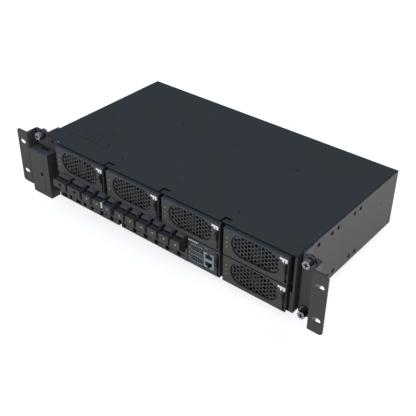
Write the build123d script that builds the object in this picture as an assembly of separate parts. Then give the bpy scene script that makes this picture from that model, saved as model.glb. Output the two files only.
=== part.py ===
from build123d import *
from math import cos, radians
import os

# Rack rectifier for a 535 mm wide rack, two units high.
# The origin is the centre of the four ear slots, on the back face of the ears.
# +X is the viewer's right, +Y runs back into the rack and +Z is up. Millimetres.

# Rack interface
SLOT_SPACING_Z = 50.0
SLOT_WIDTH = 7.0
SLOT_LENGTH = 12.0
SLOT_EDGE = 10.0
EAR_WIDTH = 22.0
EAR_CORNER_R = 4.5
FLANGE_WIDTH = 24.8
FLANGE_FRONT_Y = 16.9
BRACKET_HEIGHT = 88.9
BRACKET_SHEET = 2.0
BRACKET_LEG_LENGTH = 22.0
BEND_R = 0.6

# Module bays
MODULE_COLUMNS = 4
MODULE_WIDTH = 95.4
MODULE_HEIGHT = 40.2
MODULE_DEPTH = 223.0
MODULE_FRONT_Y = 1.0
MODULE_GAP = 6.0
MODULE_TOP_GAP = 0.55
MODULE_REST_GAP = 0.4
LEFT_BAY_WIDTH = 33.9
RIGHT_MARGIN = 7.3
CASE_SIDE_INSET = 0.6

# Chassis
SHEET = 1.2
BODY_TOP_Z = 43.15
BODY_FRONT_Y = 7.3
REAR_DUCT_DEPTH = 16.2
WALL_HEM_WIDTH = 3.2
WALL_HEM_DEPTH = 2.0
HEM_FOOT_WIDTH = 2.8
HEM_FOOT_TOP_Z = -12.0
CORNER_LEFT_BACK = 7.2
CORNER_RIGHT_BACK = 4.6
CORNER_CUT_WIDTH = 22.0
CORNER_TAB_WIDTH = 9.0
CORNER_TAB_BACK = 3.2
BLANK_HOLE_R = 2.2
BLANK_HOLE_INSET = 9.4
BLANK_HOLE_DROP = 8.2
SIDE_SLOT_WIDTH = 2.2
SIDE_SLOT_HEIGHT = 6.0
SIDE_SLOT_Y_TOP = (53.6, 83.9, 99.2, 138.3, 152.8)
SIDE_SLOT_Y_BOTTOM = (53.6, 84.3, 98.5, 137.3, 152.0)
SIDE_SLOT_Z_TOP = 34.0
SIDE_SLOT_Z_BOTTOM = -33.5
SIDE_RIVET_R = 1.5
SIDE_RIVET_HEIGHT = 0.4
SIDE_RIVET_FROM_REAR = ((40.1, 8.8), (40.1, -33.5), (4.1, -33.5))
REAR_VENT_WIDTH = 46.0
REAR_VENT_HEIGHT = 3.0
REAR_VENT_PITCH = 7.0
REAR_VENT_COUNT = 4
COVER_DIMPLE_R = 1.2
COVER_DIMPLE_DEPTH = 0.5
COVER_DIMPLE_FRONT_Y = 36.0
COVER_DIMPLE_REAR_Y = 165.5
COVER_DIMPLE_LEFT_Y = 121.5
CORNER_DIMPLE_INSET = 6.0
CORNER_DIMPLE_Y = 22.0
ANGLE_SLOT_SETBACK = 6.0
ANGLE_SLOT_LEG_X = 10.4
ANGLE_SLOT_LEG_Y = 9.2
ANGLE_SLOT_WIDTH = 1.8

# Rectifier front
FACE_THICKNESS = 2.0
WINDOW_SIDE = 11.7
WINDOW_BELOW = 5.95
WINDOW_ABOVE = 1.95
GRILLE_SHEET = 0.8
GRILLE_MARGIN = 1.6
GRILLE_BACK_GAP = 1.4
HOLE_PITCH = 5.8
HOLE_ACROSS_FLATS = 4.5
LED_INSET = 5.7
LED_R = 1.25
LED_PROUD = 0.4
LED_TOP = 27.3
LED_STEP = 6.85
LED_COUNT = 3

# Fan behind the grille
FAN_SIDE_WALL = 1.6
FAN_RIM = 1.1
FAN_DEPTH = 20.0
FAN_HUB_R = 10.5
FAN_HUB_DEPTH = 15.0
FAN_HUB_SIDES = 16
FAN_BORE_SIDES = 24
FAN_TIP_GAP = 0.9
FAN_BLADES = 7
FAN_ROOT_ANGLE = 44.0
FAN_ROOT_CHORD = 9.0
FAN_ROOT_SUNK = 2.0
FAN_TIP_TRIM = 1.0
FAN_TIP_ANGLE = 62.0
FAN_TIP_CHORD = 12.0
FAN_TIP_SWEEP = 2.0
FAN_BLADE_SHEET = 1.0
FAN_SHAFT_R = 1.5
FAN_SHAFT_LENGTH = 7.5
FAN_SHAFT_FIT = 0.05
FAN_STRUTS = 3
FAN_STRUT_WIDTH = 3.0
FAN_STRUT_BITE = 0.5
FAN_SEAT_GAP = 0.2

# Latch lever at the right of each module
LEVER_SLOT_INSET = 1.2
LEVER_SLOT_WIDTH = 3.2
LEVER_SLOT_BOTTOM = 2.0
LEVER_SLOT_HEADROOM = 0.8
LEVER_SLOT_DEPTH = 12.0
LEVER_THICKNESS = 2.2
LEVER_REACH = 6.0
LEVER_LEAN = 1.5
LEVER_PIVOT_UP = 6.0
LEVER_PIVOT_BACK = 4.6
LEVER_ARM_HALF = 2.6
LEVER_PIN_R = 1.0
LEVER_PIN_FIT = 0.06
LEVER_CHIN_UP = 15.4
LEVER_BULGE_LOW = 3.0
LEVER_BULGE_HIGH = 13.2
LEVER_BROW_DROP = 8.2
CONTROLLER_BROW_DROP = 5.0
LEVER_FACE_GAP = 0.3
CATCH_LENGTH = 10.8
CATCH_THICKNESS = 1.0
CATCH_BAR_HEIGHT = 2.8
CATCH_LEG_HEIGHT = 3.0
CATCH_LEG_WIDTH = 2.6
CATCH_LEG_GAP = 1.4

# Controller module
CONTROLLER_WIDTH = 52.3
CONTROLLER_DEPTH = 150.0
CONTROLLER_SIDE_GAP = 1.5
CONTROLLER_POCKET = 10.0
TERMINAL_LEFT = 5.5
TERMINAL_JACK_GAP = 1.8
TERMINAL_HEIGHT = 9.5
TERMINAL_UP = (6.4, 22.4)
TERMINAL_WAYS = 6
TERMINAL_WAY_SIZE = 2.2
TERMINAL_WAY_DEPTH = 3.0
TERMINAL_ROW_OFFSET = 2.1
JACK_RIGHT_MARGIN = 8.9
JACK_WIDTH = 16.4
JACK_UP = 7.2
JACK_HEIGHT = 23.4
JACK_PROUD = 0.6
PORT_WIDTH = 11.6
PORT_HEIGHT = 6.6
PORT_DEPTH = 8.5
PORT_KEY_WIDTH = 4.2
PORT_KEY_HEIGHT = 2.4
PORT_MARGIN = 2.8
CONTROLLER_LED_LEFT = 3.2
CONTROLLER_LED_STEP = 8.05
CONTROLLER_LED_R = 1.0
CONTROLLER_HOLE = 2.4
CONTROLLER_HOLE_MARGIN = 4.7
CONTROLLER_HOLE_DROP = 4.0

# Breakers
NARROW_WIDTH = 16.2
NARROW_LIGHT_INSET = 9.5
NARROW_PITCH = 20.1
LEFT_NARROW_COUNT = 3
WIDE_WIDTH = 25.4
WIDE_WINDOW_INSET = 14.0
WIDE_PITCH = 29.6
WIDE_COUNT = 2
WIDE_TO_NARROW = 25.8
NOSE_FRONT_Y = -14.5
NOSE_HEIGHT = 12.2
NOSE_CORNER_R = 1.2
NOSE_UNDERCUT = 1.4
NOSE_CHIN_DROP = 4.9
NOSE_CHIN_BACK = 5.7
NOSE_CHIN_UP = 1.5
SHOULDER_FRONT_Y = -5.9
SHOULDER_LEAN = 0.8
SHOULDER_HEIGHT = 3.2
SHOULDER_HEADROOM = 0.8
SHOULDER_SLOPE_WIDTH = 3.0
SHOULDER_SLOPE_BACK = 7.2
SHOULDER_LID = 1.0
SHOULDER_RECESS = 1.6
CHEEK_SHEET = 1.4
CHEEK_GROOVE = 1.0
CHEEK_GROOVE_DEPTH = 2.6
BREAKER_DEPTH = 58.0
BREAKER_PLATE_CLEAR = 2.6
BREAKER_LIGHT_DROP = 5.4
BREAKER_LIGHT_R = 1.2
LIGHT_SEAT_DEPTH = 2.0
WIDE_WINDOW_R = 1.5
WIDE_WINDOW_DEPTH = 7.0

# Front plates below the breakers
PLATE_END_GAP = 1.9
PLATE_PARTING = 5.2
PLATE_CONTROLLER_GAP = 0.5
PLATE_FLANGE_LENGTH = 28.0
LEFT_PLATE_FIRST = 19.9
LEFT_PLATE_LAST = 5.1
RIGHT_PLATE_FIRST = 13.45
PLATE_ROUND_HOLE_R = 3.1
PLATE_ROUND_HOLE_UP = 5.3
PLATE_ROUND_HOLE_SHIFT = -8.5
WIDE_ROUND_HOLE_SHIFT = 2.5
PLATE_TEST_SLOT_WIDTH = 3.6
PLATE_TEST_SLOT_HEIGHT = 1.5
PLATE_TEST_SLOT_UP = 7.3
SPARE_HOLE_DROP = 6.1
WIRE_NOTCH_SHIFT = -5.8
WIRE_NOTCH_WIDTH = 10.3
WIRE_NOTCH_HEIGHT = 6.0
PARTITION_DROP = 0.7
PARTITION_STEP_DROP = 7.5
PARTITION_REACH = 4.5
PARTITION_DEPTH = 9.0
PARTITION_SHEET = 0.8
CLIP_THICKNESS = 0.8
CLIP_LENGTH = 8.4
CLIP_REACH = 8.0
CLIP_BEND_R = 0.8

# Mains inlet on the left
MAINS_COVER_OVERLAP = 14.8
MAINS_COVER_TOP_Z = 19.0
MAINS_COVER_BOTTOM_Z = -55.0
MAINS_COVER_REAR_Y = 14.6
MAINS_COVER_WALL = 1.6
MAINS_SEAM_INSET = 12.2
MAINS_SEAM_WIDTH = 0.5
MAINS_SEAM_MARGIN = 3.6
MAINS_HOLE_INSET = 17.2
MAINS_HOLE_Z = -18.9
MAINS_HOLE_R = 2.5
MAINS_HOOK_INSET = 10.7
MAINS_HOOK_LENGTH = 14.4
MAINS_HOOK_DEPTH = 6.0
MAINS_HOOK_WIDTH = 1.6
TERMINAL_BLOCK_WAYS = 3
TERMINAL_BLOCK_PITCH = 11.0
TERMINAL_BLOCK_SIDE_GAP = 1.3
TERMINAL_BLOCK_DEPTH = 12.0
TERMINAL_BLOCK_CENTRE_Z = -4.0
TERMINAL_WELL_R = 3.2
TERMINAL_WELL_DEPTH = 3.0
TERMINAL_RIB = 1.2

# Backplane
BACKPLANE_THICKNESS = 2.4
BACKPLANE_GAP = 0.3
SOCKET_WIDTH = 60.0
SOCKET_HEIGHT = 14.0
SOCKET_DEPTH = 9.0

# Bracket screws
SCREW_OFFSET = 12.1
SCREW_Z = 38.2
SCREW_R = 3.0
SCREW_TAIL = 3.0
HEAD_ACROSS_FLATS = 10.0
HEAD_LENGTH = 6.2
SPRING_WASHER_R = 5.4
SPRING_WASHER_THICKNESS = 2.7
WASHER_R = 7.7
WASHER_THICKNESS = 2.0
RECESS_WIDTH = 1.3
RECESS_LENGTH = 6.0
RECESS_DEPTH = 1.8

# General
RUNNING_GAP = 0.3
SMALL_SIDES = 8
HOLE_SIDES = 12
WASHER_SIDES = 16
EPS = 0.01

# Places worked out from the driving sizes
MODULE_PITCH = MODULE_WIDTH + MODULE_GAP
BODY_WIDTH = LEFT_BAY_WIDTH + MODULE_COLUMNS * MODULE_PITCH - MODULE_GAP + RIGHT_MARGIN
BODY_HALF = BODY_WIDTH / 2
FIRST_MODULE_X = -BODY_HALF + LEFT_BAY_WIDTH
EAR_INNER_X = BODY_HALF + RUNNING_GAP + FLANGE_WIDTH
EAR_OUTER_X = EAR_INNER_X + EAR_WIDTH
SLOT_SPACING_X = 2 * (EAR_OUTER_X - SLOT_EDGE)
SCREW_X = BODY_HALF + SCREW_OFFSET
CEILING_Z = BODY_TOP_Z - SHEET
UPPER_ROW_Z = CEILING_Z - MODULE_TOP_GAP - MODULE_HEIGHT
LOWER_ROW_Z = UPPER_ROW_Z - MODULE_REST_GAP - SHEET - RUNNING_GAP - MODULE_HEIGHT
SHELF_BOTTOM_Z = LOWER_ROW_Z + MODULE_HEIGHT + RUNNING_GAP
FLOOR_TOP_Z = LOWER_ROW_Z - MODULE_REST_GAP
BODY_BOTTOM_Z = FLOOR_TOP_Z - SHEET
DIVIDER_FRONT_Y = BODY_FRONT_Y + WALL_HEM_DEPTH
CASE_FRONT_Y = MODULE_FRONT_Y + FACE_THICKNESS
MODULE_REAR_Y = MODULE_FRONT_Y + MODULE_DEPTH
SOCKET_FRONT_Y = MODULE_REAR_Y + BACKPLANE_GAP
BACKPLANE_FRONT_Y = SOCKET_FRONT_Y + SOCKET_DEPTH
BODY_REAR_Y = BACKPLANE_FRONT_Y + BACKPLANE_THICKNESS + REAR_DUCT_DEPTH + SHEET
WALL_START_Y = FLANGE_FRONT_Y + BRACKET_SHEET
WINDOW_LENGTH = MODULE_WIDTH - 2 * WINDOW_SIDE
WINDOW_HEIGHT = MODULE_HEIGHT - WINDOW_BELOW - WINDOW_ABOVE
WINDOW_UP = WINDOW_BELOW + WINDOW_HEIGHT / 2
FAN_SIZE = MODULE_HEIGHT - 2 * FAN_SIDE_WALL
FAN_BORE_R = FAN_SIZE / 2 - FAN_RIM
LEVER_BROW_UP = MODULE_HEIGHT - LEVER_BROW_DROP
CONTROLLER_BROW_UP = MODULE_HEIGHT - CONTROLLER_BROW_DROP
LOWER_BAY_RIGHT_X = FIRST_MODULE_X + (MODULE_COLUMNS - 1) * MODULE_PITCH - MODULE_GAP / 2 - SHEET / 2
CONTROLLER_LEFT_X = LOWER_BAY_RIGHT_X - CONTROLLER_SIDE_GAP - CONTROLLER_WIDTH
JACK_LEFT = CONTROLLER_WIDTH - JACK_RIGHT_MARGIN - JACK_WIDTH
TERMINAL_WIDTH = JACK_LEFT - TERMINAL_JACK_GAP - TERMINAL_LEFT
LEFT_PLATE_LEFT_X = FIRST_MODULE_X - MODULE_GAP / 2 + SHEET / 2 + PLATE_END_GAP
FIRST_WIDE_X = LEFT_PLATE_LEFT_X + LEFT_PLATE_FIRST
LAST_WIDE_X = FIRST_WIDE_X + (WIDE_COUNT - 1) * WIDE_PITCH
LEFT_NARROW_FIRST_X = LAST_WIDE_X + WIDE_TO_NARROW
LEFT_PLATE_RIGHT_X = LEFT_NARROW_FIRST_X + (LEFT_NARROW_COUNT - 1) * NARROW_PITCH + LEFT_PLATE_LAST
RIGHT_PLATE_LEFT_X = LEFT_PLATE_RIGHT_X + PLATE_PARTING
RIGHT_PLATE_RIGHT_X = CONTROLLER_LEFT_X - PLATE_CONTROLLER_GAP
RIGHT_NARROW_FIRST_X = RIGHT_PLATE_LEFT_X + RIGHT_PLATE_FIRST
RIGHT_NARROW_ROOM = RIGHT_PLATE_RIGHT_X - RIGHT_NARROW_FIRST_X - NARROW_WIDTH + NARROW_LIGHT_INSET
RIGHT_NARROW_COUNT = int(RIGHT_NARROW_ROOM / NARROW_PITCH) + 1
SHOULDER_TOP_Z = UPPER_ROW_Z - SHOULDER_HEADROOM
NOSE_TOP_Z = SHOULDER_TOP_Z - SHOULDER_HEIGHT
NOSE_BOTTOM_Z = NOSE_TOP_Z - NOSE_HEIGHT
BREAKER_LIGHT_Z = NOSE_TOP_Z - BREAKER_LIGHT_DROP
PLATE_TOP_Z = NOSE_BOTTOM_Z - NOSE_CHIN_DROP
PLATE_REAR_Y = MODULE_FRONT_Y + SHEET
MAINS_COVER_LEFT_X = -EAR_INNER_X + RUNNING_GAP
MAINS_COVER_RIGHT_X = -BODY_HALF + MAINS_COVER_OVERLAP
MAINS_COVER_FRONT_Y = -BRACKET_SHEET
BLANK_FRONT_Y = MAINS_COVER_REAR_Y + RUNNING_GAP


def block(x_range, y_range, z_range):
    size = [high - low for low, high in (x_range, y_range, z_range)]
    return Pos(x_range[0], y_range[0], z_range[0]) * Box(*size, align=(Align.MIN,) * 3)


def front_profile(sketch, y_front, y_back):
    """Extrude a sketch drawn as seen from the front (x right, y up) from y_front back to y_back."""
    plane = Plane(origin=(0, y_front, 0), x_dir=(1, 0, 0), z_dir=(0, -1, 0))
    return extrude(plane * sketch, amount=-(y_back - y_front))


def side_profile(points, x_left, x_right):
    """Extrude an outline given as (y, z) points from x_left to x_right."""
    face = make_face(Polyline(*[(x_left, y, z) for y, z in points], close=True))
    return extrude(face, amount=x_right - x_left, dir=(1, 0, 0))


def plan_sheet(path_points, thickness, bend_radius, z_low, z_high):
    """A folded sheet whose centre line in plan runs through the given points."""
    centre = FilletPolyline(*path_points, radius=bend_radius)
    return Pos(0, 0, z_low) * extrude(trace(centre, thickness), amount=z_high - z_low, dir=(0, 0, 1))


def rod(x, z, radius, y_front, y_back):
    return front_profile(Pos(x, z) * Circle(radius), y_front, y_back)


def flat_sided_rod(x, z, radius, sides, y_front, y_back):
    """A rod with flats, whose corners lie on the radius."""
    turn = 180 / sides
    return front_profile(Pos(x, z) * Rot(0, 0, turn) * RegularPolygon(radius, sides), y_front, y_back)


def save(shape, node):
    export_step(shape, f"parts/{node}.step")


# Rack brackets: ear, return, flange and leg folded from one strip
def rack_bracket():
    half = BRACKET_SHEET / 2
    path = (
        (EAR_OUTER_X, -half),
        (EAR_INNER_X + half, -half),
        (EAR_INNER_X + half, FLANGE_FRONT_Y + half),
        (BODY_HALF + RUNNING_GAP + half, FLANGE_FRONT_Y + half),
        (BODY_HALF + RUNNING_GAP + half, FLANGE_FRONT_Y + BRACKET_LEG_LENGTH),
    )
    half_height = BRACKET_HEIGHT / 2
    bracket = plan_sheet(path, BRACKET_SHEET, half + BEND_R, -half_height, half_height)
    outer = bracket.edges().filter_by(Axis.Y).group_by(Axis.X)[-1]
    bracket = fillet(outer, EAR_CORNER_R)
    for side in (-1, 1):
        centre_z = side * SLOT_SPACING_Z / 2
        slot = Pos(SLOT_SPACING_X / 2, centre_z) * SlotOverall(SLOT_LENGTH, SLOT_WIDTH)
        bracket -= front_profile(slot, -BRACKET_SHEET - EPS, EPS)
        bracket -= flat_sided_rod(SCREW_X, side * SCREW_Z, SCREW_R + RUNNING_GAP, SMALL_SIDES,
                                  FLANGE_FRONT_Y - EPS, WALL_START_Y + EPS)
    return bracket


# Bracket screws: hexagon head with a cross recess, spring washer and flat washer
def bracket_screw():
    washer_front = FLANGE_FRONT_Y - WASHER_THICKNESS
    spring_front = washer_front - SPRING_WASHER_THICKNESS
    head_front = spring_front - HEAD_LENGTH
    head_r = HEAD_ACROSS_FLATS / 2 / cos(radians(30))
    head = front_profile(RegularPolygon(head_r, 6), head_front, spring_front)
    cross = Rectangle(RECESS_LENGTH, RECESS_WIDTH) + Rectangle(RECESS_WIDTH, RECESS_LENGTH)
    head -= front_profile(cross, head_front - EPS, head_front + RECESS_DEPTH)
    spring = flat_sided_rod(0, 0, SPRING_WASHER_R, WASHER_SIDES, spring_front, washer_front)
    washer = flat_sided_rod(0, 0, WASHER_R, WASHER_SIDES, washer_front, FLANGE_FRONT_Y)
    shank = flat_sided_rod(0, 0, SCREW_R, SMALL_SIDES, FLANGE_FRONT_Y, WALL_START_Y + SCREW_TAIL)
    return head + spring + washer + shank


def bracket_screws():
    screw = bracket_screw()
    return [Pos(x, 0, z) * screw for x in (-SCREW_X, SCREW_X) for z in (-SCREW_Z, SCREW_Z)]


# Tray: floor, side walls and rear wall folded from one sheet
def chassis_tray():
    outer = block((-BODY_HALF, BODY_HALF), (BODY_FRONT_Y, BODY_REAR_Y), (BODY_BOTTOM_Z, CEILING_Z))
    inside = block((-BODY_HALF + SHEET, BODY_HALF - SHEET), (BODY_FRONT_Y - EPS, BODY_REAR_Y - SHEET),
                   (FLOOR_TOP_Z, CEILING_Z + EPS))
    tray = outer - inside
    hem_x = BODY_HALF - WALL_HEM_WIDTH
    tray += block((hem_x, BODY_HALF - SHEET), (BODY_FRONT_Y, DIVIDER_FRONT_Y), (FLOOR_TOP_Z, CEILING_Z))
    tray += block((hem_x - HEM_FOOT_WIDTH, hem_x), (BODY_FRONT_Y, BODY_FRONT_Y + SHEET),
                  (FLOOR_TOP_Z, HEM_FOOT_TOP_Z))
    for from_rear, z in SIDE_RIVET_FROM_REAR:
        for side in (-1, 1):
            tray += side_rivet(side, BODY_REAR_Y - from_rear, z)
    tray -= block((-BODY_HALF - EPS, MAINS_COVER_RIGHT_X + SHEET), (BODY_FRONT_Y - EPS, WALL_START_Y),
                  (BODY_BOTTOM_Z - EPS, CEILING_Z + EPS))
    rows = ((SIDE_SLOT_Y_TOP, SIDE_SLOT_Z_TOP), (SIDE_SLOT_Y_BOTTOM, SIDE_SLOT_Z_BOTTOM))
    for places, centre_z in rows:
        for y in places:
            tray -= block((-BODY_HALF - EPS, BODY_HALF + EPS),
                          (y - SIDE_SLOT_WIDTH / 2, y + SIDE_SLOT_WIDTH / 2),
                          (centre_z - SIDE_SLOT_HEIGHT / 2, centre_z + SIDE_SLOT_HEIGHT / 2))
    first_z = -(REAR_VENT_COUNT - 1) * REAR_VENT_PITCH / 2
    for column in range(MODULE_COLUMNS):
        centre_x = module_left(column) + MODULE_WIDTH / 2
        for vent in range(REAR_VENT_COUNT):
            z = first_z + vent * REAR_VENT_PITCH
            tray -= block((centre_x - REAR_VENT_WIDTH / 2, centre_x + REAR_VENT_WIDTH / 2),
                          (BODY_REAR_Y - SHEET - EPS, BODY_REAR_Y + EPS),
                          (z - REAR_VENT_HEIGHT / 2, z + REAR_VENT_HEIGHT / 2))
    return tray


def side_rivet(side, y, z):
    plane = Plane(origin=(side * (BODY_HALF - SHEET / 2), y, z), x_dir=(0, 1, 0), z_dir=(side, 0, 0))
    return extrude(plane * RegularPolygon(SIDE_RIVET_R, SMALL_SIDES), amount=SHEET / 2 + SIDE_RIVET_HEIGHT)


# Top cover: flat sheet with a cut-back corner, angled slots over the dividers and dimples
def top_cover():
    cut_x = -BODY_HALF + CORNER_CUT_WIDTH
    tab_x = cut_x + CORNER_TAB_WIDTH
    outline = Polyline(
        (-BODY_HALF, BODY_REAR_Y), (-BODY_HALF, BODY_FRONT_Y + CORNER_LEFT_BACK),
        (cut_x, BODY_FRONT_Y + CORNER_RIGHT_BACK), (cut_x, BODY_FRONT_Y + CORNER_TAB_BACK),
        (tab_x, BODY_FRONT_Y + CORNER_TAB_BACK), (tab_x, BODY_FRONT_Y),
        (BODY_HALF, BODY_FRONT_Y), (BODY_HALF, BODY_REAR_Y), close=True)
    cover = Pos(0, 0, CEILING_Z) * extrude(make_face(outline), amount=SHEET)
    dimples = [(module_left(0) - MODULE_GAP, COVER_DIMPLE_FRONT_Y),
               (module_left(0) - MODULE_GAP, COVER_DIMPLE_LEFT_Y),
               (-BODY_HALF + CORNER_DIMPLE_INSET, CORNER_DIMPLE_Y)]
    for column in range(1, MODULE_COLUMNS):
        gap_x = module_left(column) - MODULE_GAP / 2
        leg_x = gap_x - ANGLE_SLOT_SETBACK
        back_y = BODY_FRONT_Y + ANGLE_SLOT_LEG_Y
        half = ANGLE_SLOT_WIDTH / 2
        cover -= block((leg_x - half, leg_x + half), (BODY_FRONT_Y - EPS, back_y + half),
                       (CEILING_Z - EPS, BODY_TOP_Z + EPS))
        cover -= block((leg_x - half, leg_x + ANGLE_SLOT_LEG_X), (back_y - half, back_y + half),
                       (CEILING_Z - EPS, BODY_TOP_Z + EPS))
        dimples += [(gap_x, COVER_DIMPLE_FRONT_Y), (gap_x, COVER_DIMPLE_REAR_Y)]
    for x, y in dimples:
        punch = Pos(x, y, BODY_TOP_Z - COVER_DIMPLE_DEPTH) * RegularPolygon(COVER_DIMPLE_R, SMALL_SIDES)
        cover -= extrude(punch, amount=2 * COVER_DIMPLE_DEPTH)
    return cover


# Cage: dividers between the columns and the shelf between the rows
def module_left(column):
    return FIRST_MODULE_X + column * MODULE_PITCH


def cage_dividers():
    sheets = []
    for column in range(MODULE_COLUMNS):
        centre = module_left(column) - MODULE_GAP / 2
        low = FLOOR_TOP_Z if column in (0, MODULE_COLUMNS - 1) else SHELF_BOTTOM_Z + SHEET
        sheets.append(block((centre - SHEET / 2, centre + SHEET / 2), (DIVIDER_FRONT_Y, BACKPLANE_FRONT_Y),
                            (low, CEILING_Z)))
    return sheets


def shelf_spans():
    first = module_left(0) - MODULE_GAP / 2 + SHEET / 2
    last = module_left(MODULE_COLUMNS - 1) - MODULE_GAP / 2
    return ((first, last - SHEET / 2), (last + SHEET / 2, BODY_HALF - SHEET))


def cage_shelf():
    return [block(span, (DIVIDER_FRONT_Y, BACKPLANE_FRONT_Y), (SHELF_BOTTOM_Z, SHELF_BOTTOM_Z + SHEET))
            for span in shelf_spans()]


# Backplane with one socket behind each rectifier
def rectifier_places():
    places = [(module_left(column), UPPER_ROW_Z) for column in range(MODULE_COLUMNS)]
    return places + [(module_left(MODULE_COLUMNS - 1), LOWER_ROW_Z)]


def backplane():
    board = block((module_left(0) - MODULE_GAP / 2, BODY_HALF - SHEET),
                  (BACKPLANE_FRONT_Y, BACKPLANE_FRONT_Y + BACKPLANE_THICKNESS), (FLOOR_TOP_Z, CEILING_Z))
    for left, bottom in rectifier_places():
        centre_x = left + MODULE_WIDTH / 2
        centre_z = bottom + MODULE_HEIGHT / 2
        board += block((centre_x - SOCKET_WIDTH / 2, centre_x + SOCKET_WIDTH / 2),
                       (SOCKET_FRONT_Y, BACKPLANE_FRONT_Y + EPS),
                       (centre_z - SOCKET_HEIGHT / 2, centre_z + SOCKET_HEIGHT / 2))
    return board


# Rectifier face: window for the grille, slot for the latch lever and seats for the lights
def lever_slot(width, brow_up, y_front, y_back):
    right = width - LEVER_SLOT_INSET
    return block((right - LEVER_SLOT_WIDTH, right), (y_front, y_back),
                 (LEVER_SLOT_BOTTOM, brow_up + LEVER_SLOT_HEADROOM))


def light_heights():
    return [LED_TOP - step * LED_STEP for step in range(LED_COUNT)]


def rectifier_face():
    window = Pos(MODULE_WIDTH / 2, WINDOW_UP) * SlotOverall(WINDOW_LENGTH, WINDOW_HEIGHT)
    outline = Pos(MODULE_WIDTH / 2, MODULE_HEIGHT / 2) * Rectangle(MODULE_WIDTH, MODULE_HEIGHT)
    face = front_profile(outline - window, MODULE_FRONT_Y, CASE_FRONT_Y)
    face -= lever_slot(MODULE_WIDTH, LEVER_BROW_UP, MODULE_FRONT_Y - EPS, CASE_FRONT_Y + EPS)
    for height in light_heights():
        face -= flat_sided_rod(LED_INSET, height, LED_R, SMALL_SIDES, MODULE_FRONT_Y - EPS, CASE_FRONT_Y + EPS)
    return face


def status_lights():
    return [flat_sided_rod(LED_INSET, height, LED_R, SMALL_SIDES, MODULE_FRONT_Y - LED_PROUD, CASE_FRONT_Y)
            for height in light_heights()]


# Perforated grille: hexagonal holes in staggered columns, inside the window's outline
def grille_holes():
    column_pitch = HOLE_PITCH * cos(radians(30))
    straight_half = (WINDOW_LENGTH - WINDOW_HEIGHT) / 2
    reach = WINDOW_HEIGHT / 2 - HOLE_ACROSS_FLATS / 4
    columns = int(WINDOW_LENGTH / 2 / column_pitch) + 1
    rows = int(WINDOW_HEIGHT / 2 / HOLE_PITCH) + 1
    places = []
    for column in range(-columns, columns + 1):
        shift = HOLE_PITCH / 2 if column % 2 else 0.0
        for row in range(-rows, rows + 1):
            x = column * column_pitch
            z = row * HOLE_PITCH + shift
            past_end = max(0.0, abs(x) - straight_half)
            if past_end ** 2 + z ** 2 <= reach ** 2:
                places.append((x, z))
    return places


def grille_outline():
    return Pos(MODULE_WIDTH / 2, WINDOW_UP) * Rectangle(
        WINDOW_LENGTH + 2 * GRILLE_MARGIN, WINDOW_HEIGHT + 2 * GRILLE_MARGIN)


def rectifier_grille():
    hexagon = RegularPolygon(HOLE_ACROSS_FLATS / 2 / cos(radians(30)), 6)
    holes = Sketch() + [Pos(MODULE_WIDTH / 2 + x, WINDOW_UP + z) * hexagon for x, z in grille_holes()]
    return front_profile(grille_outline() - holes, CASE_FRONT_Y, CASE_FRONT_Y + GRILLE_SHEET)


# Rectifier case: solid body with pockets for the grille, the fan and the latch lever
def fan_front_y():
    return CASE_FRONT_Y + GRILLE_SHEET + GRILLE_BACK_GAP


def rectifier_case():
    case = block((CASE_SIDE_INSET, MODULE_WIDTH - CASE_SIDE_INSET), (CASE_FRONT_Y, MODULE_REAR_Y),
                 (0, MODULE_HEIGHT))
    case -= front_profile(grille_outline(), CASE_FRONT_Y - EPS, fan_front_y())
    half = FAN_SIZE / 2 + FAN_SEAT_GAP
    centre_x = MODULE_WIDTH / 2
    centre_z = MODULE_HEIGHT / 2
    case -= block((centre_x - half, centre_x + half), (fan_front_y() - EPS, fan_front_y() + FAN_DEPTH),
                  (centre_z - half, centre_z + half))
    case -= lever_slot(MODULE_WIDTH, LEVER_BROW_UP, CASE_FRONT_Y - EPS, CASE_FRONT_Y + LEVER_SLOT_DEPTH)
    return case + lever_pin(MODULE_WIDTH)


def lever_pin(width):
    """Pivot pin of the latch lever, across the slot."""
    right = width - LEVER_SLOT_INSET
    return side_rod(RegularPolygon(LEVER_PIN_R, SMALL_SIDES), right - LEVER_SLOT_WIDTH, right)


def side_rod(section, x_left, x_right):
    centre = (x_left, MODULE_FRONT_Y + LEVER_PIVOT_BACK, LEVER_PIVOT_UP)
    plane = Plane(origin=centre, x_dir=(0, 1, 0), z_dir=(1, 0, 0))
    return extrude(plane * section, amount=x_right - x_left)


# Fan: square frame with a bore, struts and a shaft, and a bladed rotor
def fan_centre():
    return Vector(MODULE_WIDTH / 2, 0, MODULE_HEIGHT / 2)


def fan_frame():
    front = fan_front_y()
    back = front + FAN_DEPTH
    bore = RegularPolygon(FAN_BORE_R, FAN_BORE_SIDES, major_radius=False)
    frame = front_profile(Rectangle(FAN_SIZE, FAN_SIZE) - bore, front, back)
    strut_front = front + FAN_HUB_DEPTH + RUNNING_GAP
    for strut in range(FAN_STRUTS):
        length = FAN_BORE_R + FAN_STRUT_BITE
        bar = Rectangle(length, FAN_STRUT_WIDTH, align=(Align.MIN, Align.CENTER))
        frame += front_profile(Rot(0, 0, 360 / FAN_STRUTS * strut) * bar, strut_front, back)
    frame += flat_sided_rod(0, 0, FAN_HUB_R, FAN_HUB_SIDES, strut_front, back)
    shaft_front = front + FAN_HUB_DEPTH - FAN_SHAFT_LENGTH + RUNNING_GAP
    frame += flat_sided_rod(0, 0, FAN_SHAFT_R, SMALL_SIDES, shaft_front, strut_front + EPS)
    return Pos(*fan_centre()) * frame


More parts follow.
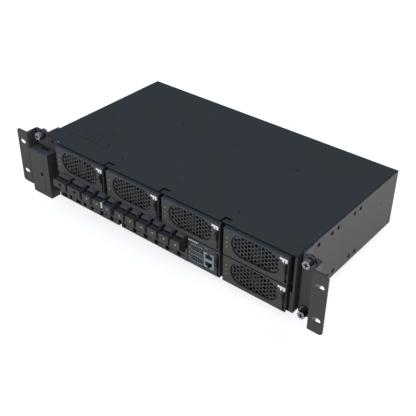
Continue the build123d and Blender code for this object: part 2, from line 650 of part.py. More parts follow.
def fan_rotor():
    front = fan_front_y() + RUNNING_GAP
    back = fan_front_y() + FAN_HUB_DEPTH
    middle = (front + back) / 2
    rotor = flat_sided_rod(0, 0, FAN_HUB_R, FAN_HUB_SIDES, front, back)
    rotor -= rod(0, 0, FAN_SHAFT_R + FAN_SHAFT_FIT, back - FAN_SHAFT_LENGTH, back + EPS)
    tip_r = FAN_BORE_R - FAN_TIP_GAP
    root = Rot(0, 0, FAN_ROOT_ANGLE) * Rectangle(FAN_ROOT_CHORD, FAN_BLADE_SHEET)
    tip = Rot(0, 0, FAN_TIP_ANGLE) * Rectangle(FAN_TIP_CHORD, FAN_BLADE_SHEET)
    blade = loft([Pos(0, middle, FAN_HUB_R - FAN_ROOT_SUNK) * root,
                  Pos(FAN_TIP_SWEEP, middle, tip_r + FAN_TIP_TRIM) * tip], ruled=True)
    reach = rod(0, 0, tip_r, front, back)
    for turn in range(FAN_BLADES):
        rotor += (Rot(0, 360 / FAN_BLADES * turn, 0) * blade) & reach
    return Pos(*fan_centre()) * rotor


# Latch lever: flat plate on a pin in the slot, with a beak in front of the face
def latch_lever(width, brow_up):
    right = width - LEVER_SLOT_INSET - (LEVER_SLOT_WIDTH - LEVER_THICKNESS) / 2
    left = right - LEVER_THICKNESS
    skin = MODULE_FRONT_Y - LEVER_FACE_GAP
    front = MODULE_FRONT_Y - LEVER_REACH
    pivot_y = MODULE_FRONT_Y + LEVER_PIVOT_BACK
    arm_front = pivot_y - LEVER_ARM_HALF
    arm_back = pivot_y + LEVER_ARM_HALF
    outline = (
        (arm_back, LEVER_PIVOT_UP),
        (arm_back, LEVER_CHIN_UP + LEVER_BULGE_LOW),
        (pivot_y, brow_up),
        (skin - CATCH_THICKNESS, brow_up),
        (front, LEVER_CHIN_UP + LEVER_BULGE_HIGH),
        (front + LEVER_LEAN, LEVER_CHIN_UP + LEVER_BULGE_LOW),
        (skin, LEVER_CHIN_UP),
        (arm_front, LEVER_CHIN_UP),
        (arm_front, LEVER_PIVOT_UP),
    )
    foot = RegularPolygon(LEVER_ARM_HALF, SMALL_SIDES, major_radius=False)
    lever = side_profile(outline, left, right) + side_rod(foot, left, right)
    return lever - side_rod(Circle(LEVER_PIN_R + LEVER_PIN_FIT), left - EPS, right + EPS)


# Bright head of the lever: a bar with two short legs, standing on the lever's brow
def latch_catch():
    right = MODULE_WIDTH - LEVER_SLOT_INSET
    near_leg = right - LEVER_SLOT_WIDTH
    far_leg = near_leg - CATCH_LEG_GAP
    bar_low = LEVER_BROW_UP + CATCH_LEG_HEIGHT
    bar_high = bar_low + CATCH_BAR_HEIGHT
    outline = Polyline(
        (right, bar_high), (right - CATCH_LENGTH, bar_high), (right - CATCH_LENGTH, bar_low),
        (far_leg - CATCH_LEG_WIDTH, bar_low), (far_leg - CATCH_LEG_WIDTH, LEVER_BROW_UP),
        (far_leg, LEVER_BROW_UP), (far_leg, bar_low), (near_leg, bar_low), (near_leg, LEVER_BROW_UP),
        (right, LEVER_BROW_UP), close=True)
    back = MODULE_FRONT_Y - LEVER_FACE_GAP
    return front_profile(make_face(outline), back - CATCH_THICKNESS, back)


# Controller module: case with its front, connectors, jack pair, lights and lever
def controller_case():
    pocket_back = MODULE_FRONT_Y + CONTROLLER_POCKET
    case = block((0, CONTROLLER_WIDTH), (MODULE_FRONT_Y, MODULE_FRONT_Y + CONTROLLER_DEPTH),
                 (0, MODULE_HEIGHT))
    case -= lever_slot(CONTROLLER_WIDTH, CONTROLLER_BROW_UP, MODULE_FRONT_Y - EPS,
                       CASE_FRONT_Y + LEVER_SLOT_DEPTH)
    for up in TERMINAL_UP:
        case -= block((TERMINAL_LEFT, TERMINAL_LEFT + TERMINAL_WIDTH), (MODULE_FRONT_Y - EPS, pocket_back),
                      (up, up + TERMINAL_HEIGHT))
    case -= block((JACK_LEFT, JACK_LEFT + JACK_WIDTH), (MODULE_FRONT_Y - EPS, pocket_back),
                  (JACK_UP, JACK_UP + JACK_HEIGHT))
    for light in controller_lights():
        case -= light
    hole_right = CONTROLLER_WIDTH - CONTROLLER_HOLE_MARGIN
    hole_top = MODULE_HEIGHT - CONTROLLER_HOLE_DROP
    case -= block((hole_right - CONTROLLER_HOLE, hole_right), (MODULE_FRONT_Y - EPS, CASE_FRONT_Y),
                  (hole_top - CONTROLLER_HOLE, hole_top))
    return case + lever_pin(CONTROLLER_WIDTH)


def controller_lights():
    return [flat_sided_rod(CONTROLLER_LED_LEFT, LED_TOP - step * CONTROLLER_LED_STEP, CONTROLLER_LED_R,
                           SMALL_SIDES, MODULE_FRONT_Y - LED_PROUD, CASE_FRONT_Y) for step in range(LED_COUNT)]


def controller_terminals():
    connectors = []
    pitch = TERMINAL_WIDTH / TERMINAL_WAYS
    socket = Rectangle(TERMINAL_WAY_SIZE, TERMINAL_WAY_SIZE)
    for up in TERMINAL_UP:
        body = block((TERMINAL_LEFT, TERMINAL_LEFT + TERMINAL_WIDTH),
                     (MODULE_FRONT_Y, MODULE_FRONT_Y + CONTROLLER_POCKET), (up, up + TERMINAL_HEIGHT))
        for offset in (-TERMINAL_ROW_OFFSET, TERMINAL_ROW_OFFSET):
            for way in range(TERMINAL_WAYS):
                centre = Pos(TERMINAL_LEFT + (way + 0.5) * pitch, up + TERMINAL_HEIGHT / 2 + offset)
                body -= front_profile(centre * socket, MODULE_FRONT_Y - EPS, MODULE_FRONT_Y + TERMINAL_WAY_DEPTH)
        connectors.append(body)
    return connectors


def port_outline(key_up):
    key_z = (PORT_HEIGHT + PORT_KEY_HEIGHT) / 2 * (1 if key_up else -1)
    return Rectangle(PORT_WIDTH, PORT_HEIGHT) + Pos(0, key_z) * Rectangle(PORT_KEY_WIDTH, PORT_KEY_HEIGHT)


def port_centres():
    low = JACK_UP + PORT_MARGIN + PORT_HEIGHT / 2
    high = JACK_UP + JACK_HEIGHT - PORT_MARGIN - PORT_HEIGHT / 2
    return ((low, False), (high, True))


def controller_jacks():
    shell_front = MODULE_FRONT_Y - JACK_PROUD
    shell = block((JACK_LEFT, JACK_LEFT + JACK_WIDTH), (shell_front, MODULE_FRONT_Y + CONTROLLER_POCKET),
                  (JACK_UP, JACK_UP + JACK_HEIGHT))
    for centre_z, key_up in port_centres():
        port = Pos(JACK_LEFT + JACK_WIDTH / 2, centre_z) * port_outline(key_up)
        shell -= front_profile(port, shell_front - EPS, shell_front + PORT_DEPTH)
    return shell


# Breakers: a nose in front, a shoulder above it and a body behind the front plate
def breaker(left, width):
    right = left + width
    body_top = SHELF_BOTTOM_Z - RUNNING_GAP
    body_bottom = FLOOR_TOP_Z + SHEET + RUNNING_GAP
    behind_plate = PLATE_REAR_Y + BREAKER_PLATE_CLEAR
    over_plate = PLATE_TOP_Z + RUNNING_GAP
    nose_back = SHOULDER_FRONT_Y - SHOULDER_LEAN
    shoulder_back = DIVIDER_FRONT_Y - RUNNING_GAP
    outline = (
        (NOSE_FRONT_Y, NOSE_TOP_Z),
        (NOSE_FRONT_Y, NOSE_BOTTOM_Z),
        (NOSE_FRONT_Y + NOSE_CHIN_BACK, over_plate + NOSE_CHIN_UP),
        (behind_plate, over_plate),
        (behind_plate, body_bottom),
        (BREAKER_DEPTH, body_bottom),
        (BREAKER_DEPTH, body_top),
        (shoulder_back, body_top),
        (shoulder_back, SHOULDER_TOP_Z),
        (SHOULDER_FRONT_Y, SHOULDER_TOP_Z),
        (nose_back, NOSE_TOP_Z - NOSE_UNDERCUT),
    )
    body = side_profile(outline, left, right)
    nose_edges = [edge for edge in body.edges()
                  if edge.bounding_box().size.X < EPS
                  and edge.bounding_box().max.Y < nose_back + EPS
                  and edge.bounding_box().min.Z > NOSE_TOP_Z - NOSE_UNDERCUT - EPS]
    body = fillet(nose_edges, NOSE_CORNER_R)
    return body - shoulder_cuts(left, right)


def shoulder_cuts(left, right):
    """Slope at the left of a breaker's shoulder, recess under its lid and groove inside its right cheek."""
    nose_back = SHOULDER_FRONT_Y - SHOULDER_LEAN
    foot_z = NOSE_TOP_Z - NOSE_UNDERCUT
    high = SHOULDER_TOP_Z + EPS
    slope = ((nose_back - EPS, foot_z), (SHOULDER_FRONT_Y + SHOULDER_SLOPE_BACK, high), (nose_back - EPS, high))
    cheek_left = right - CHEEK_SHEET
    recess = block((left - EPS, cheek_left), (nose_back - EPS, SHOULDER_FRONT_Y + SHOULDER_RECESS),
                   (foot_z, SHOULDER_TOP_Z - SHOULDER_LID))
    groove = block((cheek_left - CHEEK_GROOVE, cheek_left), (nose_back - EPS, MODULE_FRONT_Y),
                   (SHOULDER_TOP_Z - CHEEK_GROOVE_DEPTH, high))
    return side_profile(slope, left - EPS, left + SHOULDER_SLOPE_WIDTH) + recess + groove


def wide_windows_x():
    return [FIRST_WIDE_X + WIDE_PITCH * step for step in range(WIDE_COUNT)]


def left_narrow_lights_x():
    return [LEFT_NARROW_FIRST_X + NARROW_PITCH * step for step in range(LEFT_NARROW_COUNT)]


def right_narrow_lights_x():
    return [RIGHT_NARROW_FIRST_X + NARROW_PITCH * step for step in range(RIGHT_NARROW_COUNT)]


def breaker_light(x, y_front):
    return flat_sided_rod(x, BREAKER_LIGHT_Z, BREAKER_LIGHT_R, SMALL_SIDES,
                          y_front, NOSE_FRONT_Y + LIGHT_SEAT_DEPTH)


def breakers():
    solids = []
    for x in wide_windows_x():
        window = flat_sided_rod(x, BREAKER_LIGHT_Z, WIDE_WINDOW_R, SMALL_SIDES,
                                NOSE_FRONT_Y - EPS, NOSE_FRONT_Y + WIDE_WINDOW_DEPTH)
        solids.append(breaker(x - WIDE_WINDOW_INSET, WIDE_WIDTH) - window)
    for x in left_narrow_lights_x() + right_narrow_lights_x():
        solids.append(breaker(x - NARROW_LIGHT_INSET, NARROW_WIDTH) - breaker_light(x, NOSE_FRONT_Y - EPS))
    return solids


def breaker_lights():
    return [breaker_light(x, NOSE_FRONT_Y - LED_PROUD) for x in left_narrow_lights_x() + right_narrow_lights_x()]


# Distribution front plates: upright plate with a foot on the floor, holes and wire notches
def distribution_plate(left, right):
    section = (
        (MODULE_FRONT_Y, FLOOR_TOP_Z),
        (MODULE_FRONT_Y, PLATE_TOP_Z),
        (PLATE_REAR_Y, PLATE_TOP_Z),
        (PLATE_REAR_Y, FLOOR_TOP_Z + SHEET),
        (MODULE_FRONT_Y + PLATE_FLANGE_LENGTH, FLOOR_TOP_Z + SHEET),
        (MODULE_FRONT_Y + PLATE_FLANGE_LENGTH, FLOOR_TOP_Z),
    )
    return side_profile(section, left, right)


def plate_hole(x, z):
    return flat_sided_rod(x, z, PLATE_ROUND_HOLE_R, HOLE_SIDES, MODULE_FRONT_Y - EPS, PLATE_REAR_Y + EPS)


def narrow_breaker_holes(x):
    """The round hole and the test slot below a narrow breaker."""
    slot_left = x - PLATE_TEST_SLOT_WIDTH / 2
    slot_low = FLOOR_TOP_Z + PLATE_TEST_SLOT_UP - PLATE_TEST_SLOT_HEIGHT / 2
    slot = block((slot_left, slot_left + PLATE_TEST_SLOT_WIDTH), (MODULE_FRONT_Y - EPS, PLATE_REAR_Y + EPS),
                 (slot_low, slot_low + PLATE_TEST_SLOT_HEIGHT))
    return plate_hole(x + PLATE_ROUND_HOLE_SHIFT, FLOOR_TOP_Z + PLATE_ROUND_HOLE_UP) + slot


def distribution_plates():
    left = distribution_plate(LEFT_PLATE_LEFT_X, LEFT_PLATE_RIGHT_X)
    right = distribution_plate(RIGHT_PLATE_LEFT_X, RIGHT_PLATE_RIGHT_X)
    for x in wide_windows_x():
        notch_right = x + WIRE_NOTCH_SHIFT
        left -= plate_hole(x + WIDE_ROUND_HOLE_SHIFT, FLOOR_TOP_Z + PLATE_ROUND_HOLE_UP)
        left -= block((notch_right - WIRE_NOTCH_WIDTH, notch_right), (MODULE_FRONT_Y - EPS, PLATE_REAR_Y + EPS),
                      (FLOOR_TOP_Z + SHEET, FLOOR_TOP_Z + SHEET + WIRE_NOTCH_HEIGHT))
    for x in left_narrow_lights_x():
        left -= narrow_breaker_holes(x)
    for x in right_narrow_lights_x():
        right -= narrow_breaker_holes(x)
    right -= plate_hole(right_narrow_lights_x()[-1], PLATE_TOP_Z - SPARE_HOLE_DROP)
    return [left, right + partition()]


def partition():
    """Thin sheet standing at the left end of the right plate, between the two groups of breakers."""
    front = MODULE_FRONT_Y - PARTITION_REACH
    top = NOSE_TOP_Z - PARTITION_DROP
    outline = (
        (MODULE_FRONT_Y, PLATE_TOP_Z),
        (MODULE_FRONT_Y, top - PARTITION_STEP_DROP),
        (front, top - PARTITION_STEP_DROP),
        (front, top),
        (front + PARTITION_DEPTH, top),
        (front + PARTITION_DEPTH, PLATE_TOP_Z),
    )
    return side_profile(outline, RIGHT_PLATE_LEFT_X, RIGHT_PLATE_LEFT_X + PARTITION_SHEET)


# Bright link clip in the gap between the last two breakers of the left group
def breaker_link_clip():
    last = left_narrow_lights_x()[-1] - NARROW_LIGHT_INSET
    gap_left = last - NARROW_PITCH + NARROW_WIDTH
    front = NOSE_FRONT_Y + CLIP_THICKNESS / 2
    top = NOSE_TOP_Z + CLIP_THICKNESS / 2
    path = ((gap_left, front, top - CLIP_LENGTH), (gap_left, front, top), (gap_left, front + CLIP_REACH, top))
    centre = FilletPolyline(*path, radius=CLIP_BEND_R)
    strip = Plane(origin=path[0], x_dir=(1, 0, 0), z_dir=(0, 0, 1)) * Rectangle(
        last - gap_left, CLIP_THICKNESS, align=(Align.MIN, Align.CENTER))
    return sweep(strip, path=centre)


# Mains side: moulded cover in the left bracket's pocket and the terminal block behind it
def mains_cover():
    left = MAINS_COVER_LEFT_X
    right = MAINS_COVER_RIGHT_X
    wall = MAINS_COVER_WALL
    rear = MAINS_COVER_REAR_Y
    cover = block((left, right), (MAINS_COVER_FRONT_Y, rear), (MAINS_COVER_BOTTOM_Z, MAINS_COVER_TOP_Z))
    cover -= block((left + wall, right - wall), (MAINS_COVER_FRONT_Y + wall, rear + EPS),
                   (MAINS_COVER_BOTTOM_Z + wall, MAINS_COVER_TOP_Z - wall))
    seam_left = right - MAINS_SEAM_INSET
    cover -= block((seam_left, seam_left + MAINS_SEAM_WIDTH),
                   (MAINS_COVER_FRONT_Y - EPS, MAINS_COVER_FRONT_Y + MAINS_SEAM_WIDTH),
                   (MAINS_COVER_BOTTOM_Z + MAINS_SEAM_MARGIN, MAINS_COVER_TOP_Z - MAINS_SEAM_MARGIN))
    hook_right = right - MAINS_HOOK_INSET
    hook_left = hook_right - MAINS_HOOK_LENGTH
    hook_y = rear - MAINS_HOOK_DEPTH
    top_wall = (MAINS_COVER_TOP_Z - wall - EPS, MAINS_COVER_TOP_Z + EPS)
    cover -= block((hook_left, hook_right), (hook_y, hook_y + MAINS_HOOK_WIDTH), top_wall)
    cover -= block((hook_left, hook_left + MAINS_HOOK_WIDTH), (hook_y, rear + EPS), top_wall)
    return cover - flat_sided_rod(right - MAINS_HOLE_INSET, MAINS_HOLE_Z, MAINS_HOLE_R, HOLE_SIDES,
                                  MAINS_COVER_FRONT_Y - EPS, MAINS_COVER_FRONT_Y + wall + EPS)


def mains_terminal_block():
    left = MAINS_COVER_LEFT_X + MAINS_COVER_WALL + RUNNING_GAP
    right = -BODY_HALF - TERMINAL_BLOCK_SIDE_GAP
    front = FLANGE_FRONT_Y - TERMINAL_BLOCK_DEPTH
    half = TERMINAL_BLOCK_WAYS * TERMINAL_BLOCK_PITCH / 2
    body = block((left, right), (front, FLANGE_FRONT_Y),
                 (TERMINAL_BLOCK_CENTRE_Z - half, TERMINAL_BLOCK_CENTRE_Z + half))
    for way in range(TERMINAL_BLOCK_WAYS):
        low = TERMINAL_BLOCK_CENTRE_Z - half + way * TERMINAL_BLOCK_PITCH
        body -= block((left - EPS, right + EPS), (front - EPS, front + TERMINAL_WELL_DEPTH),
                      (low + TERMINAL_RIB, low + TERMINAL_BLOCK_PITCH - TERMINAL_RIB))
        body += flat_sided_rod((left + right) / 2, low + TERMINAL_BLOCK_PITCH / 2, TERMINAL_WELL_R, HOLE_SIDES,
                               front + TERMINAL_RIB, front + TERMINAL_WELL_DEPTH + EPS)
    return body


# Blank plate closing the bay between the mains cover and the first rectifier
def left_blank_plate():
    left = -BODY_HALF + SHEET
    plate = block((left, module_left(0) - MODULE_GAP / 2 - SHEET / 2),
                  (BLANK_FRONT_Y, BLANK_FRONT_Y + SHEET), (FLOOR_TOP_Z, CEILING_Z))
    return plate - flat_sided_rod(left + BLANK_HOLE_INSET, CEILING_Z - BLANK_HOLE_DROP, BLANK_HOLE_R, HOLE_SIDES,
                                  BLANK_FRONT_Y - EPS, BLANK_FRONT_Y + SHEET + EPS)


NODES = {
    "chassis_tray": chassis_tray(),
    "top_cover": top_cover(),
    "cage_dividers": Compound(cage_dividers()),
    "cage_shelf": Compound(cage_shelf()),
    "backplane": backplane(),
    "right_rack_bracket": rack_bracket(),
    "left_rack_bracket": rack_bracket().mirror(Plane.YZ),
    "bracket_screws": Compound(bracket_screws()),
    "distribution_plates": Compound(distribution_plates()),
    "breakers": Compound(breakers()),
    "breaker_lights": Compound(breaker_lights()),
    "breaker_link_clip": breaker_link_clip(),
    "mains_cover": mains_cover(),
    "mains_terminal_block": mains_terminal_block(),
    "left_blank_plate": left_blank_plate(),
}

RECTIFIER_PIECES = {
    "case": rectifier_case(),
    "face": rectifier_face(),
    "grille": rectifier_grille(),
    "fan_frame": fan_frame(),
    "fan_rotor": fan_rotor(),
    "latch_lever": latch_lever(MODULE_WIDTH, LEVER_BROW_UP),
    "latch_catch": latch_catch(),
    "lights": Compound(status_lights()),
}

CONTROLLER_PIECES = {
    "case": controller_case(),
    "terminals": Compound(controller_terminals()),
    "jacks": controller_jacks(),
    "lights": Compound(controller_lights()),
    "latch_lever": latch_lever(CONTROLLER_WIDTH, CONTROLLER_BROW_UP),
}

os.makedirs("parts", exist_ok=True)
for node, shape in NODES.items():
    save(shape, node)
for number, (left, bottom) in enumerate(rectifier_places(), start=1):
    for piece, shape in RECTIFIER_PIECES.items():
        save(Pos(left, 0, bottom) * shape, f"rectifier_{number}_{piece}")
for piece, shape in CONTROLLER_PIECES.items():
    save(Pos(CONTROLLER_LEFT_X, 0, LOWER_ROW_Z) * shape, f"controller_{piece}")
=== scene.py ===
from math import cos, pi, radians, sin

import bmesh
import bpy
from mathutils import Matrix, Vector


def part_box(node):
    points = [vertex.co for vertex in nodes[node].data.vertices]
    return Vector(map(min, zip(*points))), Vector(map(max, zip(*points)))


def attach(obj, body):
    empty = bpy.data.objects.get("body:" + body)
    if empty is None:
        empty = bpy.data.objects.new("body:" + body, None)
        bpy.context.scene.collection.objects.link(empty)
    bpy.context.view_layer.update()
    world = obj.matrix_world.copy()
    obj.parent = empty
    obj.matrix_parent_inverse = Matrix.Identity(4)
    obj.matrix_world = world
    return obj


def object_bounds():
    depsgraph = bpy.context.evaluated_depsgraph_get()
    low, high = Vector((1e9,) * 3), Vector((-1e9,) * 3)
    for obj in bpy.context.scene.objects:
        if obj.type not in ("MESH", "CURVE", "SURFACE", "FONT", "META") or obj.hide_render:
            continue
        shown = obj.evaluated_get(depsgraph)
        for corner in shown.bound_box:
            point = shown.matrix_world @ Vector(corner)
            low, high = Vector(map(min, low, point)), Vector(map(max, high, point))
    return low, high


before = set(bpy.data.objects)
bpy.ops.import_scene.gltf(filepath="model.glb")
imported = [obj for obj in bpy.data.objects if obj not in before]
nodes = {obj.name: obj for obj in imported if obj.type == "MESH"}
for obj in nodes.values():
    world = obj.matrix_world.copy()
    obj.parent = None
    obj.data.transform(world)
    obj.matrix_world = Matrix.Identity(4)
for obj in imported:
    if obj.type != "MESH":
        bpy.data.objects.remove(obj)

cad_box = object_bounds()
MM = 0.001


# Chassis tray: the floor, side walls and rear wall, folded from one sheet of steel.
# It has a textured powder coat with a fine orange-peel grain.
def srgb(red, green, blue):
    """A colour as it looks on screen, 0 to 255 each, as the linear values that a shader takes."""
    shares = [channel / 255 for channel in (red, green, blue)]
    return tuple(s / 12.92 if s <= 0.04045 else ((s + 0.055) / 1.055) ** 2.4 for s in shares) + (1.0,)


def grained(name, colour, roughness, grain_mm, depth, specular, edge_mm=0.25, metallic=0.0):
    """A coated or moulded finish: fine grain, slight mottling and softly broken edges."""
    mottle_mm = 40
    mottle_shares = (0.95, 1.05)
    grain_per_height = 6
    material = bpy.data.materials.new(name)
    material.use_nodes = True
    tree = material.node_tree
    shader = tree.nodes["Principled BSDF"]
    shader.inputs["Roughness"].default_value = roughness
    shader.inputs["Specular IOR Level"].default_value = specular
    shader.inputs["Metallic"].default_value = metallic
    place = tree.nodes.new("ShaderNodeTexCoord")
    grain = tree.nodes.new("ShaderNodeTexNoise")
    grain.inputs["Scale"].default_value = 1 / (grain_mm * MM)
    grain.inputs["Detail"].default_value = 3.0
    mottle = tree.nodes.new("ShaderNodeTexNoise")
    mottle.inputs["Scale"].default_value = 1 / (mottle_mm * MM)
    mottle.inputs["Detail"].default_value = 4.0
    tint = tree.nodes.new("ShaderNodeMix")
    tint.data_type = "RGBA"
    tint.inputs["A"].default_value = tuple(c * mottle_shares[0] for c in colour[:3]) + (1.0,)
    tint.inputs["B"].default_value = tuple(c * mottle_shares[1] for c in colour[:3]) + (1.0,)
    edge = tree.nodes.new("ShaderNodeBevel")
    edge.samples = 4
    edge.inputs["Radius"].default_value = edge_mm * MM
    bump = tree.nodes.new("ShaderNodeBump")
    bump.inputs["Strength"].default_value = depth
    bump.inputs["Distance"].default_value = grain_mm * MM / grain_per_height
    for noise in (grain, mottle):
        tree.links.new(place.outputs["Object"], noise.inputs["Vector"])
    tree.links.new(mottle.outputs["Fac"], tint.inputs["Factor"])
    tree.links.new(tint.outputs["Result"], shader.inputs["Base Color"])
    tree.links.new(grain.outputs["Fac"], bump.inputs["Height"])
    tree.links.new(edge.outputs["Normal"], bump.inputs["Normal"])
    tree.links.new(bump.outputs["Normal"], shader.inputs["Normal"])
    return material


def dress(material, *names):
    for name in names:
        mesh = nodes[name].data
        mesh.materials.clear()
        mesh.materials.append(material)


def joined(tree, operation, first, second):
    node = tree.nodes.new("ShaderNodeMath")
    node.operation = operation
    for socket, value in zip(node.inputs, (first, second)):
        if isinstance(value, (int, float)):
            socket.default_value = value
        else:
            tree.links.new(value, socket)
    return node.outputs[0]


def moved(tree, operation, first, second=(0.0, 0.0, 0.0)):
    node = tree.nodes.new("ShaderNodeVectorMath")
    node.operation = operation
    for socket, value in zip(node.inputs, (first, second)):
        if isinstance(value, (tuple, list)):
            socket.default_value = value
        else:
            tree.links.new(value, socket)
    return node


def tinted(material, mask, colour):
    """Lay another colour over a finish where the mask is 1."""
    tree = material.node_tree
    socket = tree.nodes["Principled BSDF"].inputs["Base Color"]
    layer = tree.nodes.new("ShaderNodeMix")
    layer.data_type = "RGBA"
    tree.links.new(mask, layer.inputs["Factor"])
    tree.links.new(socket.links[0].from_socket, layer.inputs["A"])
    layer.inputs["B"].default_value = colour
    tree.links.new(layer.outputs["Result"], socket)


def paint(material, colour, low, high, pitch=0.0, share=1.0):
    """Another colour inside a box given by two corners in millimetres, in stripes where there is a pitch."""
    tree = material.node_tree
    place = tree.nodes["Texture Coordinate"].outputs["Object"]
    centre = tuple((a + b) / 2 * MM for a, b in zip(low, high))
    half = tuple((b - a) / 2 * MM for a, b in zip(low, high))
    offset = moved(tree, "SUBTRACT", place, centre)
    size = moved(tree, "ABSOLUTE", offset.outputs[0])
    excess = moved(tree, "SUBTRACT", size.outputs[0], half)
    split = tree.nodes.new("ShaderNodeSeparateXYZ")
    tree.links.new(excess.outputs[0], split.inputs[0])
    worst = joined(tree, "MAXIMUM", split.outputs[0], split.outputs[1])
    worst = joined(tree, "MAXIMUM", worst, split.outputs[2])
    mask = joined(tree, "LESS_THAN", worst, 0.0)
    if pitch:
        along = tree.nodes.new("ShaderNodeSeparateXYZ")
        tree.links.new(place, along.inputs[0])
        step = joined(tree, "MODULO", joined(tree, "SUBTRACT", along.outputs[0], low[0] * MM), pitch * MM)
        mask = joined(tree, "MULTIPLY", mask, joined(tree, "LESS_THAN", step, pitch * share * MM))
    tinted(material, mask, colour)


DARK = srgb(14, 14, 15)
BLACK = srgb(5, 5, 5)
TRAY_INSIDE_SHADE = ((-220.3, 20.0, -41.0), (220.3, 253.0, 41.9))
WALL_REACH = 221.0
WALL_SLOTS = ((34.0, (53.6, 83.9, 99.2, 138.3, 152.8)), (-33.5, (53.6, 84.3, 98.5, 137.3, 152.0)))
SLOT_HALF_LENGTH = 3.1
SLOT_HALF_HEIGHT = 2.6
RIGHT_WALL = (220.3, 220.5)
EARTH_COLOUR = srgb(56, 56, 56)
EARTH_CENTRE_Z = 32.0
EARTH_HALF_WIDTH = 0.5
EARTH_STROKES = ((40.8, 2.8), (42.8, 1.9), (44.8, 1.0))
chassis_coat = grained("chassis_coat", srgb(84, 84, 84), roughness=0.6, grain_mm=0.5, depth=0.25, specular=0.06)
# Painted shade: the inside of the tray is painted dark.
paint(chassis_coat, DARK, *TRAY_INSIDE_SHADE)
# Painted shade: a black patch round each side-wall slot, larger than the slot, stands for its dark opening.
for row_z, places in WALL_SLOTS:
    for y in places:
        paint(chassis_coat, BLACK, (-WALL_REACH, y - SLOT_HALF_LENGTH, row_z - SLOT_HALF_HEIGHT),
              (WALL_REACH, y + SLOT_HALF_LENGTH, row_z + SLOT_HALF_HEIGHT))
for y, half_height in EARTH_STROKES:
    paint(chassis_coat, EARTH_COLOUR, (RIGHT_WALL[0], y - EARTH_HALF_WIDTH, EARTH_CENTRE_Z - half_height),
          (RIGHT_WALL[1], y + EARTH_HALF_WIDTH, EARTH_CENTRE_Z + half_height))
dress(chassis_coat, "chassis_tray")


# Cage: upright dividers and a shelf of plain sheet steel, spot-welded into the tray.
# They guide the modules and are coated with the tray.
cage_coat = grained("cage_coat", srgb(84, 84, 84), roughness=0.6, grain_mm=0.5, depth=0.25, specular=0.06)
dress(cage_coat, "cage_dividers", "cage_shelf")


# Backplane: a coated circuit board across the back of the cage.
# Its blade sockets are moulded and soldered to it, one behind each rectifier.
board_laminate = grained("board_laminate", srgb(36, 74, 54), roughness=0.35, grain_mm=0.8, depth=0.1, specular=0.5)
dress(board_laminate, "backplane")


# Rectifier cases: folded sheet boxes, coated like the chassis, that slide in the cage.
# The front of each has a recess for its fan and a slot for its latch lever.
def box_mm(name):
    """A node's low and high corner in millimetres."""
    low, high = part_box(name)
    return [c / MM for c in low], [c / MM for c in high]


RECTIFIERS = [f"rectifier_{number}" for number in range(1, 6)]
SKIN = 0.1
POCKET_DEPTH = 1.5
POCKET_SHADE = srgb(40, 41, 41)
TOP_EDGE_SKYLIGHT = srgb(72, 77, 84)
CASE_TOP_EDGE = ((-190.0, 0.0, 41.2), (220.0, 7.2, 42.0))
case_coat = grained("case_coat", srgb(60, 61, 62), roughness=0.55, grain_mm=0.5, depth=0.2, specular=0.06)
# Painted light: the case's top edge in front of the cover takes a cool bluish tone of the overhead light.
paint(case_coat, TOP_EDGE_SKYLIGHT, *CASE_TOP_EDGE)
# Painted shade: the recess behind each grille is painted darker than the case.
for rectifier in RECTIFIERS:
    low, high = box_mm(f"{rectifier}_grille")
    paint(case_coat, POCKET_SHADE, [c - SKIN for c in low], (high[0] + SKIN, high[1] + POCKET_DEPTH, high[2] + SKIN))
    dress(case_coat, f"{rectifier}_case")


# Rectifier faces: painted front plates with an oval window over the fan.
# The satin paint is smoother than the coat of the chassis.
FACE_TOP_EDGE = ((-190.0, 1.05, 41.2), (220.0, 3.1, 42.0))
face_paint = grained("face_paint", srgb(84, 84, 84), roughness=0.5, grain_mm=0.35, depth=0.12, specular=0.1)
# Painted light: the top edge of each face takes the same cool bluish tone of the overhead light.
paint(face_paint, TOP_EDGE_SKYLIGHT, *FACE_TOP_EDGE)
for rectifier in RECTIFIERS:
    dress(face_paint, f"{rectifier}_face")


# Grilles: thin sheet punched with staggered hexagonal holes, held behind each window.
# They have the faces' paint, and their plain rim lies in the window's shade.
SHEET_LENGTH = 75.2
SHEET_HEIGHT = 35.5
STRAIGHT_HALF = 19.85
LIT_RADIUS = 14.6
CENTRE = (0.5, 0.5, 0.5)
grille_paint = grained("grille_paint", srgb(90, 90, 89), roughness=0.55, grain_mm=0.35, depth=0.12, specular=0.1,
                       edge_mm=0.1)
tree = grille_paint.node_tree
spot = moved(tree, "SUBTRACT", tree.nodes["Texture Coordinate"].outputs["Generated"], CENTRE)
spot = moved(tree, "MULTIPLY", spot.outputs[0], (SHEET_LENGTH, 0.0, SHEET_HEIGHT))
spot = moved(tree, "ABSOLUTE", spot.outputs[0])
spot = moved(tree, "SUBTRACT", spot.outputs[0], (STRAIGHT_HALF, 0.0, 0.0))
spot = moved(tree, "MAXIMUM", spot.outputs[0])
spot = moved(tree, "LENGTH", spot.outputs[0])
tinted(grille_paint, joined(tree, "GREATER_THAN", spot.outputs["Value"], LIT_RADIUS), srgb(38, 38, 38))
for rectifier in RECTIFIERS:
    dress(grille_paint, f"{rectifier}_grille")


# Fans: a square moulded frame with three struts and a seven-bladed rotor on its shaft.
# Both are black glass-filled plastic, and the hub has a greyer label disc.
HUB_SHARE = 0.29
frame_plastic = grained("frame_plastic", srgb(48, 48, 48), roughness=0.5, grain_mm=0.4, depth=0.2, specular=0.1)
rotor_plastic = grained("rotor_plastic", srgb(26, 27, 28), roughness=0.5, grain_mm=0.4, depth=0.2, specular=0.2)
tree = rotor_plastic.node_tree
from_axis = moved(tree, "SUBTRACT", tree.nodes["Texture Coordinate"].outputs["Generated"], CENTRE)
from_axis = moved(tree, "MULTIPLY", from_axis.outputs[0], (1.0, 0.0, 1.0))
from_axis = moved(tree, "LENGTH", from_axis.outputs[0])
tinted(rotor_plastic, joined(tree, "LESS_THAN", from_axis.outputs["Value"], HUB_SHARE), srgb(52, 52, 52))
for rectifier in RECTIFIERS:
    dress(frame_plastic, f"{rectifier}_fan_frame")
    dress(rotor_plastic, f"{rectifier}_fan_rotor")


